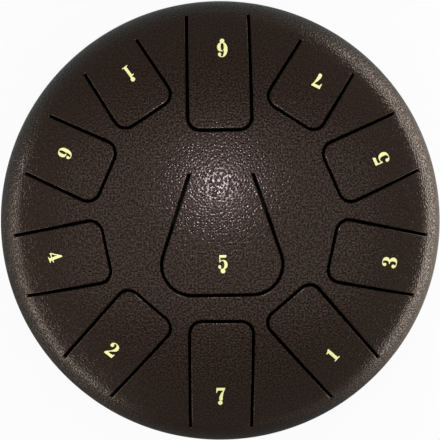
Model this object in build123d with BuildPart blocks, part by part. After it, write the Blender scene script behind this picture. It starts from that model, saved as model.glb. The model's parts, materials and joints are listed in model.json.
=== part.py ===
"""Steel tongue drum: two welded steel bowls, eleven tongues, three rubber feet and their fasteners.

Millimetres, +Z up. The origin is on the drum's axis, on the plane that the feet stand on.
+Y points at the tongue that plays the low 6, which is the far one from the player.
"""
import os
from math import asin, cos, degrees, pi, radians, sin, tan

from build123d import *

# Bowls: pressed from sheet, each a spherical crown that rolls over a shoulder into a short straight lip
shell_r = 126.6
sheet_t = 1.2
lip_h = 2.0
top_crown_r = 205.0
top_shoulder_r = 35.0
bottom_crown_r = 280.0
bottom_shoulder_r = 50.0
stand_h = 3.0
sound_hole_r = 30.0
sound_hole_edge_r = 0.4

# Rim weld: the lips meet on a narrow land, and the bead fills the bevels and stands a little proud
land_t = 0.4
bevel_h = 0.9
bead_proud = 0.4

# Tongues: a slot on three sides, and a hairline at the root, where the real sheet runs on and flexes
slot_w = 1.6
root_gap = 0.05
tongue_w = 0.26 * shell_r
tongue_corner_r = 0.049 * shell_r

# Outer tongues: turn from +Y clockwise seen from above, then root line and free end as shares of shell_r
outer_tongues = {
    "tongue_low_6": (-1.0, 0.920, 0.412),
    "tongue_7": (32.4, 0.869, 0.553),
    "tongue_5": (66.1, 0.893, 0.521),
    "tongue_3": (101.8, 0.900, 0.489),
    "tongue_1": (139.0, 0.912, 0.428),
    "tongue_low_7": (180.0, 0.912, 0.413),
    "tongue_2": (-139.0, 0.904, 0.460),
    "tongue_4": (-101.9, 0.905, 0.507),
    "tongue_6": (-66.6, 0.879, 0.538),
    "tongue_high_1": (-33.5, 0.879, 0.569),
}

# Centre tongue, for the low 5: a fan that widens from its root to its free end
centre_turn = -0.8
centre_root = 0.221 * shell_r
centre_end = 0.286 * shell_r
centre_root_w = 0.25 * shell_r
centre_corner_r = 0.123 * shell_r
centre_flare = 18.6

# Feet: rubber bumpers square to the bowl, with soles cut level
foot_names = ("rubber_foot_far", "rubber_foot_right", "rubber_foot_left")
foot_circle_r = 68.0
foot_r = 12.0
foot_draft = 7.0
foot_web_t = 4.5
foot_edge_r = 1.2
seat_gap = 0.05

# Foot fasteners: M4 pan-head screw, plain washer and hex nut
screw_r = 2.0
screw_head_r = 4.0
screw_head_h = 2.6
screw_head_edge_r = 0.9
screw_end_l = 1.4
screw_clearance = 0.25
drive_l = 4.2
drive_w = 0.9
drive_d = 1.3
washer_r = 4.5
washer_t = 0.8
washer_bore_clearance = 0.15
pocket_clearance = 1.0
nut_flats = 7.0
nut_h = 3.2
nut_bore_clearance = 0.05


def crown_turn(crown_r, shoulder_r):
    """Angle off the vertical, in degrees, where a bowl's crown runs into its shoulder."""
    return degrees(asin((shell_r - shoulder_r) / (crown_r - shoulder_r)))


def crown_drop(crown_r, shoulder_r):
    """Height from the centre of a bowl's crown to the centre of its shoulder."""
    return (crown_r - shoulder_r) * cos(radians(crown_turn(crown_r, shoulder_r)))


def bowl_depth(crown_r, shoulder_r):
    """Height of a bowl from its rim to its apex."""
    return lip_h + crown_r - crown_drop(crown_r, shoulder_r)


# Heights that follow from the sizes above
top_depth = bowl_depth(top_crown_r, top_shoulder_r)
equator_z = stand_h + bowl_depth(bottom_crown_r, bottom_shoulder_r)
bottom_crown_z = stand_h + bottom_crown_r

# Upright half-planes for the turned profiles, with their origin at the middle of the rim
rim_up = Plane(origin=(0, 0, equator_z), x_dir=(1, 0, 0), z_dir=(0, -1, 0))
rim_down = Plane(origin=(0, 0, equator_z), x_dir=(1, 0, 0), z_dir=(0, 1, 0))

os.makedirs("parts", exist_ok=True)


def bowl_face(plane, crown_r, shoulder_r):
    """Half section of a pressed bowl with its weld bevel. The rim is on local X, the apex up local Y."""
    turn = crown_turn(crown_r, shoulder_r)
    shoulder_c = (shell_r - shoulder_r, lip_h)
    crown_c = (0, lip_h - crown_drop(crown_r, shoulder_r))
    apex_h = bowl_depth(crown_r, shoulder_r)
    inner_r = shell_r - sheet_t
    with BuildSketch(plane) as section:
        with BuildLine():
            Line((shell_r, bevel_h), (shell_r, lip_h))
            CenterArc(shoulder_c, shoulder_r, 0, 90 - turn)
            CenterArc(crown_c, crown_r, 90 - turn, turn)
            Line((0, apex_h), (0, apex_h - sheet_t))
            CenterArc(crown_c, crown_r - sheet_t, 90, -turn)
            CenterArc(shoulder_c, shoulder_r - sheet_t, 90 - turn, turn - 90)
            Polyline((inner_r, lip_h), (inner_r, 0), (inner_r + land_t, 0), (shell_r, bevel_h))
        make_face()
    return section.sketch


def blade_face(turn, root, end, root_w, flare, corner_r, grow=0.0):
    """Plan outline of a tongue, or of its window when grown by the slot. Local +X points at the root."""
    flare_angle = radians(flare)
    root_half = root_w / 2 + grow / cos(flare_angle)
    free_end = end - grow
    end_half = root_half + (root - free_end) * tan(flare_angle)
    along = (sin(radians(turn)), cos(radians(turn)), 0)
    with BuildSketch(Plane(origin=(0, 0, equator_z), x_dir=along, z_dir=(0, 0, 1))) as blade:
        with BuildLine():
            Polyline(
                (root, root_half), (free_end, end_half), (free_end, -end_half), (root, -root_half), close=True
            )
        make_face()
        fillet(blade.vertices().group_by(Axis.X)[0], corner_r + grow)
    return blade.sketch


def outer_blade(row, root_back=0.0, grow=0.0):
    """Outline of one outer tongue, or of its window."""
    turn, root_share, end_share = row
    root = root_share * shell_r - root_back
    return blade_face(turn, root, end_share * shell_r, tongue_w, 0.0, tongue_corner_r, grow)


def centre_blade(root_back=0.0, grow=0.0):
    """Outline of the centre tongue, or of its window."""
    root = centre_root - root_back
    return blade_face(centre_turn, root, -centre_end, centre_root_w, centre_flare, centre_corner_r, grow)


# Blank of the top bowl, before its slots are cut
with BuildPart() as top_blank:
    revolve(bowl_face(rim_up, top_crown_r, top_shoulder_r), axis=Axis.Z)

# Top bowl, with a window round each tongue
with BuildPart() as top_shell:
    add(top_blank.part)
    for tongue_row in outer_tongues.values():
        extrude(outer_blade(tongue_row, grow=slot_w), amount=top_depth, mode=Mode.SUBTRACT)
    extrude(centre_blade(grow=slot_w), amount=top_depth, mode=Mode.SUBTRACT)
top_shell.part.label = "top_shell"
export_step(top_shell.part, "parts/top_shell.step")

# Tongues, each a piece of the same pressed sheet
for tongue_name, tongue_row in outer_tongues.items():
    with BuildPart() as tongue:
        extrude(outer_blade(tongue_row, root_back=root_gap), amount=top_depth)
        add(top_blank.part, mode=Mode.INTERSECT)
    tongue.part.label = tongue_name
    export_step(tongue.part, f"parts/{tongue_name}.step")

with BuildPart() as centre_tongue:
    extrude(centre_blade(root_back=root_gap), amount=top_depth)
    add(top_blank.part, mode=Mode.INTERSECT)
centre_tongue.part.label = "tongue_low_5"
export_step(centre_tongue.part, "parts/tongue_low_5.step")

# Foot seats: planes on the bottom bowl's outer face, with local +Z square to it and outwards
foot_tilt = asin(foot_circle_r / bottom_crown_r)
foot_planes = []
for foot_index in range(len(foot_names)):
    foot_turn = 2 * pi * foot_index / len(foot_names)
    radial = Vector(sin(foot_turn), cos(foot_turn), 0)
    outward = radial * sin(foot_tilt) - Vector(0, 0, cos(foot_tilt))
    seat_point = Vector(0, 0, bottom_crown_z) + outward * bottom_crown_r
    foot_planes.append(Plane(origin=seat_point, x_dir=radial.cross(outward), z_dir=outward))
foot_end = foot_planes[0].origin.Z / cos(foot_tilt) + foot_r * tan(foot_tilt)

# Bottom bowl, with the sound hole and the foot screw holes
with BuildPart() as bottom_shell:
    revolve(bowl_face(rim_down, bottom_crown_r, bottom_shoulder_r), axis=Axis.Z)
    with BuildSketch(Plane.XY):
        Circle(sound_hole_r)
    extrude(amount=equator_z, mode=Mode.SUBTRACT)
    hole_wall = bottom_shell.faces().filter_by(GeomType.CYLINDER).sort_by(SortBy.RADIUS)[0]
    fillet(hole_wall.edges().filter_by(GeomType.CIRCLE), sound_hole_edge_r)
    with BuildSketch(*foot_planes):
        Circle(screw_r + screw_clearance)
    extrude(amount=2 * sheet_t, both=True, mode=Mode.SUBTRACT)
bottom_shell.part.label = "bottom_shell"
export_step(bottom_shell.part, "parts/bottom_shell.step")

# Weld bead round the equator
with BuildPart() as rim_weld:
    with BuildSketch(rim_up):
        with BuildLine():
            Polyline((shell_r, -bevel_h), (shell_r - sheet_t + land_t, 0), (shell_r, bevel_h))
            ThreePointArc((shell_r, bevel_h), (shell_r + bead_proud, 0), (shell_r, -bevel_h))
        make_face()
    revolve(axis=Axis.Z)
rim_weld.part.label = "rim_weld"
export_step(rim_weld.part, "parts/rim_weld.step")

# Rubber feet: drafted bumpers, seated on the bowl's curve and cut level at the floor
for foot_name, foot_plane in zip(foot_names, foot_planes):
    with BuildPart() as foot:
        with BuildSketch(foot_plane.offset(-sheet_t)):
            Circle(foot_r)
        extrude(amount=sheet_t + foot_end, taper=foot_draft)
        with Locations(foot_plane.offset(foot_end).location):
            CounterBoreHole(screw_r + screw_clearance, washer_r + pocket_clearance, foot_end - foot_web_t)
        split(bisect_by=Plane.XY, keep=Keep.TOP)
        fillet(foot.edges().group_by(Axis.Z)[0].sort_by(SortBy.LENGTH)[-1], foot_edge_r)
        with Locations((0, 0, bottom_crown_z)):
            Sphere(bottom_crown_r + seat_gap, mode=Mode.SUBTRACT)
    foot.part.label = foot_name
    export_step(foot.part, f"parts/{foot_name}.step")

# Washers under the screw heads, in the feet's pockets
washer_seat = foot_web_t + seat_gap
with BuildPart() as foot_washers:
    with BuildSketch(*[plane.offset(washer_seat) for plane in foot_planes]):
        Circle(washer_r)
        Circle(screw_r + washer_bore_clearance, mode=Mode.SUBTRACT)
    extrude(amount=washer_t)
foot_washers.part.label = "foot_washers"
export_step(foot_washers.part, "parts/foot_washers.step")

# Screws: pan head with a cross recess, and a plain shank up through foot, bowl and nut
head_seat = washer_seat + washer_t + seat_gap
shank_l = head_seat + sheet_t + seat_gap + nut_h + screw_end_l
with BuildPart() as foot_screws:
    with BuildSketch(*[plane.offset(head_seat) for plane in foot_planes]):
        Circle(screw_head_r)
    extrude(amount=screw_head_h)
    head_rims = foot_screws.edges().filter_by(GeomType.CIRCLE).sort_by(Axis.Z)[: len(foot_planes)]
    fillet(head_rims, screw_head_edge_r)
    with BuildSketch(*[plane.offset(head_seat) for plane in foot_planes]):
        Circle(screw_r)
    extrude(amount=-shank_l)
    with BuildSketch(*[plane.offset(head_seat + screw_head_h) for plane in foot_planes]):
        Rectangle(drive_l, drive_w)
        Rectangle(drive_w, drive_l)
    extrude(amount=-drive_d, mode=Mode.SUBTRACT)
foot_screws.part.label = "foot_screws"
export_step(foot_screws.part, "parts/foot_screws.step")

# Nuts inside the bowl
with BuildPart() as foot_nuts:
    with BuildSketch(*[plane.offset(-sheet_t - seat_gap) for plane in foot_planes]):
        RegularPolygon(nut_flats / 2, 6, major_radius=False)
        Circle(screw_r + nut_bore_clearance, mode=Mode.SUBTRACT)
    extrude(amount=-nut_h)
foot_nuts.part.label = "foot_nuts"
export_step(foot_nuts.part, "parts/foot_nuts.step")
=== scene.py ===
"""Dresses the steel tongue drum: painted bowls, tongues, numbers, feet, fasteners and the studio."""

import json
from math import asin, ceil, cos, pi, radians, sin, sqrt, tan
from typing import NamedTuple

import bmesh
import bpy
from bpy.props import FloatProperty, FloatVectorProperty, IntProperty, PointerProperty
from mathutils import Matrix, Vector
from mathutils.geometry import delaunay_2d_cdt, interpolate_bezier
from mathutils.kdtree import KDTree


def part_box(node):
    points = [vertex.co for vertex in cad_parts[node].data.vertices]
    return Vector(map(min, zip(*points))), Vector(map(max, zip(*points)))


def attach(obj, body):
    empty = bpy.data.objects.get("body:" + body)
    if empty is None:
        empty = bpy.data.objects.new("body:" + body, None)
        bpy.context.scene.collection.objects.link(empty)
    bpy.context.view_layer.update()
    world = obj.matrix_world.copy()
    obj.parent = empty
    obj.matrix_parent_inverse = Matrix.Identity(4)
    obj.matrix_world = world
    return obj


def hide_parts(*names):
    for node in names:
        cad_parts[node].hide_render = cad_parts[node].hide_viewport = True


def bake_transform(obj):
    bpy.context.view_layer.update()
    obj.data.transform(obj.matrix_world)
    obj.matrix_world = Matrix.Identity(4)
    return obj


bl_info = {
    "name": "Steel tongue drum",
    "version": (1, 0, 0),
    "blender": (4, 5, 0),
    "location": "View3D > Sidebar > Drum",
    "description": "Builds the visible pieces of a steel tongue drum on its packed frame",
    "category": "Object",
}

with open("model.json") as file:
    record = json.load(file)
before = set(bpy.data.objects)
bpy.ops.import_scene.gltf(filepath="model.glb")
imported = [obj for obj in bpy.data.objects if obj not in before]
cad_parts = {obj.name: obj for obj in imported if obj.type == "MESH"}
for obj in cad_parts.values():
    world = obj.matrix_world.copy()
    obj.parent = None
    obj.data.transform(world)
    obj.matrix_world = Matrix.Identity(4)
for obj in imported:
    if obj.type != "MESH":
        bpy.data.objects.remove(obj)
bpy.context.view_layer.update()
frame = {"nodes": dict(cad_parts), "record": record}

# Sizes that come from the frame, in metres
SHELL_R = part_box("top_shell")[1].x
EQUATOR_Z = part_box("top_shell")[0].z
BEAD_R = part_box("rim_weld")[1].x
BEAD_HALF_H = (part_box("rim_weld")[1].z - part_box("rim_weld")[0].z) / 2

# The frame's joints, and names of its nodes and bodies
JOINTS = frame["record"]["behaviour"]["joints"]
CENTRE_TONGUE = "tongue_low_5"
FOOT_NODES = ("rubber_foot_far", "rubber_foot_right", "rubber_foot_left")
DRUM = "drum"

# The drum's axis in plan
AXIS = Vector((0, 0))

# Smallest difference that the plan triangulation keeps, in metres
PLAN_EPSILON = 1e-8

# Pitches kept clear round an outline's points when the plan is filled, and the fewest points round a hole
GRID_CLEARANCE = 0.7
HOLE_POINTS = 24

# Steps in a rounded edge, and the shares of the cut that the paint reads on a painted edge and on bare
# steel.
# The paint colours bare steel near-black: partly dark scale, partly painted shade.
EDGE_BENDS = 5
PAINTED_EDGE = 0.5
SHADED_BARE_STEEL = 1.0

# Points along the weld bead and round it, and ripples in it
BEAD_POINTS = 720
BEAD_SIDES = 16
BEAD_RIPPLES = 240

# Sides of the turned fasteners and of the feet, and steps down a foot's wall
LATHE_SIDES = 48
FOOT_SIDES = 64
WALL_STEPS = 6

# Angles from which an edge stays sharp: on turned pieces, on moulded rubber and on cutting tools
SHARP_TURNED = radians(35)
SHARP_MOULDED = radians(50)
SHARP_TOOL = radians(10)

WHITE = (1.0, 1.0, 1.0)


# Settings


def length_setting(name, description, default):
    """A length in metres."""
    return FloatProperty(name=name, description=description, default=default, unit="LENGTH")


def angle_setting(name, description, degrees):
    """An angle, given in degrees."""
    return FloatProperty(name=name, description=description, default=radians(degrees), subtype="ANGLE")


def colour_setting(name, description, default):
    """A linear colour."""
    return FloatVectorProperty(name=name, description=description, default=default, subtype="COLOR")


def power_setting(name, description, default):
    """A lamp's power in watts."""
    return FloatProperty(name=name, description=description, default=default, unit="POWER")


def place_setting(name, description, default):
    """A point in metres."""
    return FloatVectorProperty(
        name=name, description=description, default=default, subtype="XYZ", unit="LENGTH"
    )


class SheetSizes(bpy.types.PropertyGroup):
    """Sizes of the pressed sheet, of the cuts in it and of its weld."""

    thickness: length_setting("Thickness", "Sheet thickness", 0.0012)
    lip: length_setting("Lip", "Straight height at each bowl's rim", 0.002)
    land: length_setting("Land", "Flat left at the rim's weld bevel", 0.0004)
    bevel: length_setting("Bevel", "Height of the rim's weld bevel", 0.0009)
    top_crown: length_setting("Top crown", "Crown radius of the top bowl", 0.205)
    top_shoulder: length_setting("Top shoulder", "Shoulder radius of the top bowl", 0.035)
    top_roll: length_setting("Top roll", "Plan radius past which the top bowl has no cuts", 0.121)
    bottom_crown: length_setting("Bottom crown", "Crown radius of the bottom bowl", 0.28)
    bottom_shoulder: length_setting("Bottom shoulder", "Shoulder radius of the bottom bowl", 0.05)
    bottom_roll: length_setting("Bottom roll", "Plan radius past which the bottom bowl has no cuts", 0.11)
    slot: length_setting("Slot", "Width of the slot round a tongue", 0.0016)
    edge: length_setting("Edge", "Radius of the painted cut edges", 0.00065)
    inner_edge: length_setting("Inner edge", "Radius of the cut edges inside", 0.0004)
    guard: length_setting("Guard", "Flat strip kept beside a rounded edge", 0.00025)
    corner: length_setting("Corner", "Corner radius of the outer tongues", 0.049 * SHELL_R)
    centre_corner: length_setting("Centre corner", "Corner radius of the centre tongue", 0.123 * SHELL_R)
    centre_flare: angle_setting("Centre flare", "Flare of the centre tongue's sides", 18.6)
    bend: length_setting("Bend", "Length that bends at a tongue's root", 0.004)
    sound_hole: length_setting("Sound hole", "Sound hole radius", 0.03)
    ripple: length_setting("Ripple", "Depth of the weld bead's ripples", 0.00006)
    top_pitch: length_setting("Top pitch", "Mesh pitch of the top", 0.0018)
    bottom_pitch: length_setting("Bottom pitch", "Mesh pitch of the bottom", 0.003)
    rim_count: IntProperty(name="Rim points", description="Points round each bowl's rim", default=360)


class NumberSizes(bpy.types.PropertyGroup):
    """Sizes of the number films."""

    dot: length_setting("Dot", "Diameter of an octave dot", 0.0025)
    gap: length_setting("Gap", "Film's height over the paint", 0.00001)
    film: length_setting("Film", "Film thickness", 0.00007)
    pitch: length_setting("Pitch", "Mesh pitch of the films", 0.0008)


class FootSizes(bpy.types.PropertyGroup):
    """Sizes of the rubber feet and their fasteners."""

    circle: length_setting("Circle", "Radius of the circle of feet", 0.068)
    radius: length_setting("Radius", "Foot radius at the bowl", 0.012)
    draft: angle_setting("Draft", "Draft of the foot's wall", 7)
    web: length_setting("Web", "Rubber between bowl and washer", 0.0045)
    pocket: length_setting("Pocket", "Radius of the screw pocket", 0.0055)
    pocket_ease: length_setting("Pocket ease", "Bevel at the pocket's mouth", 0.0004)
    bore: length_setting("Bore", "Radius of the screw's hole", 0.00225)
    edge: length_setting("Edge", "Radius of the sole's edge", 0.0012)
    seat: length_setting("Seat", "Gap between fitted pieces", 0.00005)
    screw: length_setting("Screw", "Radius of the screw's thread", 0.002)
    thread: length_setting("Thread", "Pitch of the screw's thread", 0.0007)
    tooth: length_setting("Tooth", "Depth of the screw's thread", 0.0003)
    head: length_setting("Head", "Radius of the screw's head", 0.004)
    head_height: length_setting("Head height", "Height of the head", 0.0026)
    drive: length_setting("Drive", "Span of the cross recess", 0.0042)
    drive_width: length_setting("Drive width", "Width of a recess arm", 0.0009)
    drive_depth: length_setting("Drive depth", "Depth of the recess", 0.0013)
    washer: length_setting("Washer", "Radius of the washer", 0.0045)
    washer_bore: length_setting("Washer bore", "Radius of the washer's hole", 0.00215)
    washer_height: length_setting("Washer height", "Washer thickness", 0.0008)
    washer_ease: length_setting("Washer ease", "Bevel at the washer's edges", 0.00016)
    nut_bore: length_setting("Nut bore", "Radius of the nut's thread", 0.00205)
    nut_flats: length_setting("Nut flats", "Nut width over flats", 0.007)
    nut_height: length_setting("Nut height", "Height of the nut", 0.0032)
    screw_end: length_setting("Screw end", "Thread past the nut", 0.0014)


class Finishes(bpy.types.PropertyGroup):
    """Colours and textures of the finishes."""

    paint: colour_setting("Paint", "Hammertone enamel", (0.0157, 0.0085, 0.0053))
    # Painted shade: a near-black colour for the pits' middles, standing in for the shade in the hollows
    paint_pit: colour_setting("Paint pits", "Enamel in the pits", (0.002, 0.0012, 0.0008))
    paint_fleck: colour_setting("Paint flecks", "Enamel on its swells", (0.039, 0.0199, 0.0108))
    # Partly dark scale, partly painted shade: near-black cut walls and inner faces, for the shade in the
    # slots and inside the drum
    cut_wall: colour_setting("Cut walls", "Dark scale in the slots and inside", (0.0015, 0.0013, 0.0012))
    pit_pitch: length_setting("Pit pitch", "Distance between pits", 0.0015)
    pit_depth: length_setting("Pit depth", "Depth of the pits", 0.00009)
    film: colour_setting("Number film", "Pale yellow film", (0.92, 0.88, 0.32))
    rubber: colour_setting("Rubber", "Black moulded rubber", (0.018, 0.018, 0.019))
    zinc: colour_setting("Zinc", "Bright zinc plate", (0.62, 0.63, 0.62))
    zinc_bloom: colour_setting("Zinc bloom", "Share of the colour left under bloom", (0.95, 0.88, 0.74))


class Studio(bpy.types.PropertyGroup):
    """Camera, lamps and floor."""

    camera: place_setting("Camera", "Place of the camera", (-0.00814, 0.03057, 0.7819))
    aim: place_setting("Aim", "Point in the image's middle", (-0.0003, 0.0009, 0.0699))
    lens: FloatProperty(name="Lens", description="Focal length, millimetres", default=100.62, unit="CAMERA")
    overhead_power: power_setting("Overhead", "Power of the overhead lamp", 2.8)
    ceiling_power: power_setting("Ceiling", "Power of the ceiling panel", 14.0)
    right_power: power_setting("Right", "Power of the right floor panel", 0.72)
    left_power: power_setting("Left", "Power of the left floor panel", 1.56)
    overhead_colour: colour_setting("Overhead colour", "Colour of the overhead lamp", (1.02, 0.93, 1.08))
    ceiling_colour: colour_setting("Ceiling colour", "Colour of the ceiling panel", (1.04, 1.0, 0.94))
    side_colour: colour_setting("Side colour", "Colour of the floor panels", (1.0, 0.9, 0.8))
    room_colour: colour_setting("Room colour", "Colour of the room's light", (0.82, 1.03, 1.12))
    ambient: FloatProperty(name="Ambient", description="Strength of the room's light", default=0.3)
    floor: colour_setting("Floor", "Pale floor", (0.55, 0.55, 0.55))
    # Painted light: colours of the floor's glow in reflections, a painted pool of light at the right and
    # dimmer elsewhere
    right_gleam: colour_setting("Right gleam", "Floor in reflections at the right", (1.0, 0.86, 0.74))
    far_gleam: colour_setting("Far gleam", "Floor in reflections elsewhere", (0.8, 0.98, 0.98))


# Node trees


class Bench:
    """Adds nodes to one tree and feeds their inputs from values or from other nodes."""

    def __init__(self, tree):
        self.tree = tree

    def feed(self, socket, value):
        """Sets an input, or links it to another node's output."""
        if isinstance(value, bpy.types.NodeSocket):
            self.tree.links.new(value, socket)
        else:
            socket.default_value = value

    def node(self, kind, inputs=None, **settings):
        """Adds one node."""
        made = self.tree.nodes.new(kind)
        for name, value in settings.items():
            setattr(made, name, value)
        for name, value in (inputs or {}).items():
            self.feed(made.inputs[name], value)
        return made

    def math(self, operation, *values):
        """Adds a math node and returns its output."""
        made = self.node("ShaderNodeMath", operation=operation)
        for socket, value in zip(made.inputs, values):
            self.feed(socket, value)
        return made.outputs[0]

    def choose(self, test, no, yes):
        """Adds a switch between two numbers and returns its output."""
        inputs = {"Switch": test, "False": no, "True": yes}
        return self.node("GeometryNodeSwitch", inputs, input_type="FLOAT").outputs["Output"]

    def mark_skin(self, geometry, place):
        """Stores the place of each point on the unrolled surface, for the paint's pattern."""
        inputs = {"Geometry": geometry, "Name": "skin", "Value": place}
        kind = "GeometryNodeStoreNamedAttribute"
        return self.node(kind, inputs, data_type="FLOAT_VECTOR", domain="POINT").outputs["Geometry"]

    def combine(self, **parts):
        """Adds a vector made of its parts and returns its output."""
        return self.node("ShaderNodeCombineXYZ", parts).outputs["Vector"]

    def split(self, vector):
        """Adds the parts of a vector and returns their outputs."""
        return self.node("ShaderNodeSeparateXYZ", {"Vector": vector}).outputs

    def length(self, vector):
        """Adds the length of a vector and returns its output."""
        return self.node("ShaderNodeVectorMath", {0: vector}, operation="LENGTH").outputs["Value"]

    def noise(self, place, scale, detail):
        """Adds a noise texture and returns its value."""
        inputs = {"Vector": place, "Scale": scale, "Detail": detail}
        return self.node("ShaderNodeTexNoise", inputs).outputs["Fac"]

    def bump(self, height, depth, strength=1.0):
        """Adds a bump from a pattern of heights and returns its normal."""
        inputs = {"Strength": strength, "Distance": depth, "Height": height}
        return self.node("ShaderNodeBump", inputs).outputs["Normal"]

    def smooth_range(self, value, low, high, bottom=0.0, top=1.0):
        """Eases a value from one range into another and returns the output."""
        inputs = {"Value": value, "From Min": low, "From Max": high, "To Min": bottom, "To Max": top}
        return self.node("ShaderNodeMapRange", inputs, interpolation_type="SMOOTHSTEP").outputs["Result"]

    def blend(self, factor, first, second):
        """Mixes two colours and returns the output."""
        made = self.node("ShaderNodeMix", {"Factor": factor}, data_type="RGBA", clamp_factor=True)
        first_input, second_input = [socket for socket in made.inputs if socket.type == "RGBA"]
        self.feed(first_input, first)
        self.feed(second_input, second)
        return [socket for socket in made.outputs if socket.type == "RGBA"][0]


def geometry_tree(name, lengths=(), counts=()):
    """A new geometry tree with named inputs. Returns its bench, its inputs by name and its output node."""
    tree = bpy.data.node_groups.new(name, "GeometryNodeTree")
    tree.interface.new_socket("Geometry", in_out="INPUT", socket_type="NodeSocketGeometry")
    for length in lengths:
        tree.interface.new_socket(length, in_out="INPUT", socket_type="NodeSocketFloat")
    for count in counts:
        tree.interface.new_socket(count, in_out="INPUT", socket_type="NodeSocketInt")
    tree.interface.new_socket("Finish", in_out="INPUT", socket_type="NodeSocketMaterial")
    tree.interface.new_socket("Geometry", in_out="OUTPUT", socket_type="NodeSocketGeometry")
    bench = Bench(tree)
    given = bench.node("NodeGroupInput").outputs
    return bench, given, bench.node("NodeGroupOutput")


def end_tree(bench, given, output, geometry):
    """Ends a geometry tree in real geometry with its finish."""
    real = bench.node("GeometryNodeRealizeInstances", {"Geometry": geometry}).outputs["Geometry"]
    painted = bench.node("GeometryNodeSetMaterial", {"Geometry": real, "Material": given["Finish"]})
    bench.feed(output.inputs["Geometry"], painted.outputs["Geometry"])
    return bench.tree


def press_tree():
    """Bends a flat blank into a bowl: a round crown, a rolled shoulder and a straight lip.

    Up to the roll's start, a blank's distance from the axis is the plan radius.
    Past it, that distance runs along the surface.
    Its height is the depth through the sheet, with the outer face at zero.
    """
    lengths = ("Shell Radius", "Crown", "Shoulder", "Roll", "Rim Height", "Side")
    bench, given, output = geometry_tree("press_tree", lengths)
    math = bench.math
    crown, shoulder, roll_start = given["Crown"], given["Shoulder"], given["Roll"]
    place = bench.node("GeometryNodeInputPosition").outputs["Position"]
    x, y, depth = bench.split(place)
    reach = math("SQRT", math("ADD", math("MULTIPLY", x, x), math("MULTIPLY", y, y)))

    shoulder_at = math("SUBTRACT", given["Shell Radius"], shoulder)
    arm = math("SUBTRACT", crown, shoulder)
    crown_turn = math("ARCSINE", math("DIVIDE", shoulder_at, arm))
    crown_edge = math("MULTIPLY", crown, math("SINE", crown_turn))
    crown_sink = math("MULTIPLY", arm, math("COSINE", crown_turn))
    roll_turn = math("ARCSINE", math("DIVIDE", math("SUBTRACT", roll_start, shoulder_at), shoulder))
    rolled = math("SUBTRACT", reach, roll_start)
    roll_length = math("MULTIPLY", math("SUBTRACT", pi / 2, roll_turn), shoulder)

    on_crown = math("LESS_THAN", reach, crown_edge)
    on_roll = math("GREATER_THAN", reach, roll_start)
    crown_angle = math("ARCSINE", math("MINIMUM", math("DIVIDE", reach, crown), 1.0))
    from_shoulder = math("DIVIDE", math("SUBTRACT", reach, shoulder_at), shoulder)
    shoulder_angle = math("ARCSINE", math("MINIMUM", math("MAXIMUM", from_shoulder, -1.0), 1.0))
    roll_angle = math("MINIMUM", math("ADD", roll_turn, math("DIVIDE", rolled, shoulder)), pi / 2)
    lip_drop = math("MAXIMUM", math("SUBTRACT", rolled, roll_length), 0.0)

    angle = bench.choose(on_crown, bench.choose(on_roll, shoulder_angle, roll_angle), crown_angle)
    radius = math("ADD", bench.choose(on_crown, shoulder, crown), depth)
    centre_out = bench.choose(on_crown, shoulder_at, 0.0)
    centre_up = bench.choose(on_crown, 0.0, math("MULTIPLY", crown_sink, -1.0))
    out = math("ADD", centre_out, math("MULTIPLY", radius, math("SINE", angle)))
    up = math("ADD", centre_up, math("MULTIPLY", radius, math("COSINE", angle)))
    spread = math("DIVIDE", out, math("MAXIMUM", reach, PLAN_EPSILON))
    side = given["Side"]
    pressed = bench.combine(
        X=math("MULTIPLY", x, spread),
        Y=math("MULTIPLY", math("MULTIPLY", y, spread), side),
        Z=math("ADD", given["Rim Height"], math("MULTIPLY", math("SUBTRACT", up, lip_drop), side)),
    )
    crown_way = math("MULTIPLY", crown, math("MINIMUM", angle, crown_turn))
    shoulder_way = math("MULTIPLY", shoulder, math("MAXIMUM", math("SUBTRACT", angle, crown_turn), 0.0))
    surface_way = math("ADD", math("ADD", crown_way, shoulder_way), lip_drop)
    unroll = math("DIVIDE", surface_way, math("MAXIMUM", reach, PLAN_EPSILON))
    skin = bench.combine(X=math("MULTIPLY", x, unroll), Y=math("MULTIPLY", y, unroll))
    marked = bench.mark_skin(given["Geometry"], skin)
    moved = bench.node("GeometryNodeSetPosition", {"Geometry": marked, "Position": pressed})
    return end_tree(bench, given, output, moved.outputs["Geometry"])


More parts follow.
